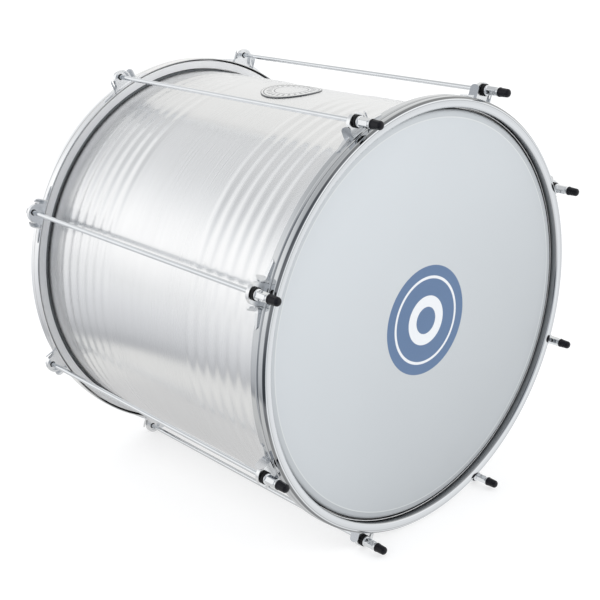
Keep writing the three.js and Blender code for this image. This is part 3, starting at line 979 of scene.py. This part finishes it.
def make_washer(index, end, side, body):
    outline = [(BORE_RADIUS, 0), (WASHER_RADIUS, 0),
               (WASHER_RADIUS, WASHER_THICKNESS), (BORE_RADIUS, WASHER_THICKNESS)]
    bm = bmesh.new()
    add_spun(bm, fillet(outline, WASHER_SOFTNESS, 4, closed=True), SMALL_STEPS, closed=True)
    place = rod_place(index, side, WASHER_DEPTH + WASHER_THICKNESS)
    piece(f"{end}_rubber_washer_{index + 1}", bm, place, WASHER_RUBBER, body,
          [f"{end}_washer_{index + 1}"])


def make_nut(index):
    """A long nut: a core with a flange and a collar, and the hexagon round it."""
    flange = fillet([(BORE_RADIUS, 0), (NUT_FLANGE_RADIUS, 0), (NUT_FLANGE_RADIUS, NUT_FLANGE_HEIGHT),
                     (NUT_COLLAR_RADIUS, NUT_FLANGE_HEIGHT + NUT_FLANGE_SLOPE)], NUT_FLANGE_SOFTNESS, 4)
    collar = fillet([(NUT_COLLAR_RADIUS, NUT_LENGTH - NUT_COLLAR_LENGTH), (NUT_COLLAR_RADIUS, NUT_LENGTH),
                     (BORE_RADIUS, NUT_LENGTH)], NUT_COLLAR_SOFTNESS, 4)
    bm = bmesh.new()
    add_spun(bm, flange + collar, SMALL_STEPS, closed=True)
    add_hex_sleeve(bm, HEX_START, NUT_LENGTH - NUT_COLLAR_LENGTH)
    number = index + 1
    place = rod_place(index, -1, NUT_DEPTH)
    piece(f"nut_{number}_hex", bm, place, NUT_CHROME, f"nut_{number}",
          [f"tuning_nut_{number}"], sharp_angle=35)


def cap_radius(angle, radius, y):
    """Faint grip ribs along the cap's side, which fade out at its lip and dome."""
    if radius < BORE_RADIUS * CAP_SIDE_SHARE:
        return radius
    above_lip = min(1.0, max(0.0, (y - CAP_LIP) / CAP_RIB_FADE))
    below_dome = min(1.0, max(0.0, (CAP_LENGTH - CAP_DOME - y) / CAP_RIB_FADE))
    return radius - CAP_RIB_SINK * above_lip * below_dome * (1 + math.cos(angle * CAP_RIBS)) / 2


def make_cap(index):
    """A rubber cap: its blind bore, a lip, a side that narrows a little, and a dome."""
    shoulder = CAP_LENGTH - CAP_DOME
    outline = [(0, CAP_BORE), (BORE_RADIUS, CAP_BORE), (BORE_RADIUS, 0)]
    outline += fillet([(BORE_RADIUS, 0), (CAP_BASE_RADIUS, 0), (CAP_BASE_RADIUS, CAP_LIP * CAP_LIP_SHARE),
                       (CAP_BODY_RADIUS, CAP_LIP)], CAP_LIP_SOFTNESS, 3)[1:]
    for k in range(1, CAP_STEPS):
        share = k / CAP_STEPS
        outline.append((CAP_BODY_RADIUS + (CAP_TIP_RADIUS - CAP_BODY_RADIUS) * share,
                        CAP_LIP + (shoulder - CAP_LIP) * share))
    for k in range(CAP_STEPS):
        angle = QUARTER * k / CAP_STEPS
        outline.append((CAP_TIP_RADIUS * math.cos(angle), shoulder + CAP_DOME * math.sin(angle)))
    outline.append((0, CAP_LENGTH))
    bm = bmesh.new()
    add_spun(bm, outline, CAP_RIBS * STEPS_PER_RIB, shape=cap_radius)
    number = index + 1
    piece(f"cap_{number}_rubber", bm, rod_place(index, -1, CAP_DEPTH), CAP_RUBBER, f"cap_{number}",
          [f"end_cap_{number}"], sharp_angle=50)


# Badge


def badge_profile():
    """The badge's section from its middle outwards: plate, a faint ring, the raised rim, and its back."""
    well = BADGE_RADIUS - BADGE_RIM
    top = BADGE_RIM_HEIGHT
    plate = [(well * share, BADGE_PLATE) for share in BADGE_PLATE_SHARES]
    ring = [(well * BADGE_BUMP_SHARE, BADGE_PLATE + BADGE_BUMP)]
    after = [(well * BADGE_BUMP_END_SHARE, BADGE_PLATE), (well, BADGE_PLATE)]
    rim = [(well + BADGE_RIM_SLOPE, top - BADGE_RIM_FALL), (well + BADGE_RIM_EASE, top),
           (BADGE_RADIUS - BADGE_RIM_EASE, top), (BADGE_RADIUS - BADGE_EDGE_EASE, top - BADGE_EDGE_EASE),
           (BADGE_RADIUS, top / 2), (BADGE_RADIUS - BADGE_BACK_INSET, 0.0), (0.0, 0.0)]
    return plate + ring + after + rim


def make_badge():
    """A round plate bent to the shell, with a raised rim and a plain sunk face."""
    seat = SHELL_RADIUS + FIT_GAP
    bm = bmesh.new()
    loops = []
    for reach, height in badge_profile():
        out = seat + height
        if reach < ON_AXIS:
            loops.append([bm.verts.new((0, 0, out))])
            continue
        loop = []
        for k in range(BADGE_STEPS):
            angle = TURN * k / BADGE_STEPS
            bend = math.asin(reach * math.sin(angle) / seat)
            loop.append(bm.verts.new((out * math.sin(bend), reach * math.cos(angle), out * math.cos(bend))))
        loops.append(loop)
    for low, high in zip(loops, loops[1:]):
        join_rings(bm, low, high, BADGE_STEPS)
    piece("badge_plate", bm, on_axis(), BADGE_METAL, "drum", ["badge"])


make_shell()
make_badge()
for end_name, end_side in ENDS.items():
    make_film(end_name, end_side)
    make_flesh_hoop(end_name, end_side)
    make_hoop(end_name, end_side)
for rod_index in range(ROD_COUNT):
    make_rod(rod_index)
    make_washer(rod_index, "rear", 1, "drum")
    make_washer(rod_index, "batter", -1, f"washer_{rod_index + 1}")
    make_nut(rod_index)
    make_cap(rod_index)


# Camera, floor and light


def make_camera():
    data = bpy.data.cameras.new("photo_camera")
    data.sensor_width = SENSOR
    data.lens = LENS
    data.clip_start = CLIP_START
    data.clip_end = CLIP_END
    camera = bpy.data.objects.new("photo_camera", data)
    link(camera)
    forward = Vector(CAMERA_FORWARD).normalized()
    right = Vector(CAMERA_RIGHT).normalized()
    up = right.cross(forward)
    facing = Matrix((right, up, -forward)).transposed().to_4x4()
    camera.matrix_world = Matrix.Translation(CAMERA_PLACE) @ facing
    bpy.context.scene.camera = camera


def towards_front(n, x, y):
    """About the cosine of the turn between a level direction and the unlit front."""
    front_x, front_y = FRONT_DIRECTION
    along = n.math("ADD", n.math("MULTIPLY", x, front_x), n.math("MULTIPLY", y, front_y))
    return n.math("DIVIDE", along, distance(n, x, y))


def darken_front(n, colour, facing, amount, start, unlit):
    """The unlit part of the studio before the drum, which the bright metal needs for its dark lines."""
    dark_start, dark_end = FRONT_DARK_SPAN
    in_dim = n.span(facing, start, start + FRONT_DIM, smooth=True)
    in_dark = n.span(facing, start + dark_start, start + dark_end, smooth=True)
    dimmed = n.mix(n.math("MULTIPLY", in_dim, amount), colour, opaque(DIM_TONE))
    return n.mix(n.math("MULTIPLY", in_dark, amount), dimmed, unlit)


def floor_in_metal(n, x, y, away):
    """The floor as bright metal shows it: a pale table with the drum's shadow painted in its middle, its
    edge, and the paper beyond.
    """
    share = n.span(away, 0.0, FLOOR_HALF)
    on_left = n.span(n.math("SUBTRACT", y, x), *TABLE_LEFT_SPAN, smooth=True)
    tone = n.mix(on_left, opaque(TABLE_RIGHT_TONE), n.ramp(share, TABLE_AND_PAINTED_SHADOW_TONES))
    beyond = n.span(away, *UNLIT_FLOOR_SPAN, smooth=True)
    unlit = n.ramp(share, UNLIT_FLOOR_TONES)
    return darken_front(n, tone, towards_front(n, x, y), beyond, FLOOR_FRONT_START, unlit)


def floor_paper():
    """Paper that stays white to the camera and keeps the drum's shadow."""
    material = bpy.data.materials.new("floor_paper")
    material.use_nodes = True
    n = Nodes(material.node_tree)
    place = n.add("ShaderNodeTexCoord").outputs["Object"]
    xyz = n.add("ShaderNodeSeparateXYZ", {0: place})
    x, y = xyz.outputs["X"], xyz.outputs["Y"]
    away = distance(n, x, y)
    path = n.add("ShaderNodeLightPath").outputs
    seen, in_metal = path["Is Camera Ray"], path["Is Glossy Ray"]
    level = n.mix(seen, opaque(grey(PAPER_LEVEL)), opaque(grey(PAPER_SEEN_LEVEL)))
    paper = n.add("ShaderNodeBsdfDiffuse", {"Color": level})
    lifted = n.math("MULTIPLY", seen, n.span(away, *LIFT_SPAN, *LIFT_LEVELS))
    lift = n.add("ShaderNodeEmission", {"Color": (1, 1, 1, 1), "Strength": lifted})
    lit = n.add("ShaderNodeAddShader", {0: paper.outputs[0], 1: lift.outputs[0]})
    shown = n.add("ShaderNodeEmission", {"Color": floor_in_metal(n, x, y, away), "Strength": 1.0})
    both = n.add("ShaderNodeMixShader", {0: in_metal, 1: lit.outputs[0], 2: shown.outputs[0]})
    n.add("ShaderNodeOutputMaterial", {"Surface": both.outputs[0]})
    return material


def make_floor():
    bm = bmesh.new()
    bmesh.ops.create_grid(bm, x_segments=FLOOR_STEPS, y_segments=FLOOR_STEPS, size=FLOOR_HALF)
    mesh = bpy.data.meshes.new("floor")
    bm.to_mesh(mesh)
    bm.free()
    mesh.materials.append(floor_paper())
    floor = bpy.data.objects.new("floor", mesh)
    link(floor)


def between_turns(n, turned, turns):
    """Rises over the first two of four turns and falls over the last two."""
    start, full, fading, end = turns
    return n.math("MULTIPLY", n.span(turned, start, full), n.span(turned, fading, end, 1.0, 0.0))


def studio_in_metal(n, x, y, height):
    """The studio as bright metal shows it: pale walls, one of them cream, a gap, and an unlit front."""
    turned = n.math("ARCTAN2", x, y)
    cream = between_turns(n, turned, CREAM_WALL_TURNS)
    studio = n.mix(cream, n.ramp(height, WALL_TONES), n.ramp(height, CREAM_WALL_TONES))
    gap = n.math("MULTIPLY", between_turns(n, turned, GAP_TURNS), GAP_STRENGTH)
    studio = n.mix(gap, studio, opaque(GAP_TONE))
    below_roof = n.span(height, *UNLIT_WALL_SPAN, 1.0, 0.0, smooth=True)
    unlit = n.ramp(height, UNLIT_WALL_TONES)
    return darken_front(n, studio, towards_front(n, x, y), below_roof, WALL_FRONT_START, unlit)


def make_world():
    """White behind the drum for the camera, and a plain studio for reflections and soft light."""
    world = bpy.data.worlds.new("studio")
    bpy.context.scene.world = world
    world.use_nodes = True
    n = Nodes(world.node_tree)
    direction = n.add("ShaderNodeTexCoord").outputs["Generated"]
    xyz = n.add("ShaderNodeSeparateXYZ", {0: direction})
    studio = studio_in_metal(n, xyz.outputs["X"], xyz.outputs["Y"], xyz.outputs["Z"])
    path = n.add("ShaderNodeLightPath").outputs
    soft = n.mix(path["Is Glossy Ray"], opaque(SOFT_LIGHT_TONE), studio)
    colour = n.mix(path["Is Camera Ray"], soft, (1, 1, 1, 1))
    background = n.add("ShaderNodeBackground", {"Color": colour, "Strength": 1.0})
    n.add("ShaderNodeOutputWorld", {"Surface": background.outputs[0]})


def add_lamp(name, place, size, power):
    """A square lamp that points at the drum's middle and doesn't show in metal."""
    data = bpy.data.lights.new(name, "AREA")
    data.shape = "SQUARE"
    data.size = size
    data.energy = power
    lamp = bpy.data.objects.new(name, data)
    link(lamp)
    lamp.location = place
    lamp.visible_glossy = False
    towards = Vector((0, 0, AXIS_HEIGHT)) - Vector(place)
    lamp.rotation_euler = towards.to_track_quat("-Z", "Y").to_euler()


make_camera()
make_floor()
make_world()
add_lamp("key_softbox", place=(-1.6, 0.6, 2.2), size=1.4, power=22)
add_lamp("front_softbox", place=(0.9, -2.2, 1.6), size=1.6, power=24)
bpy.context.scene.view_settings.view_transform = "Standard"
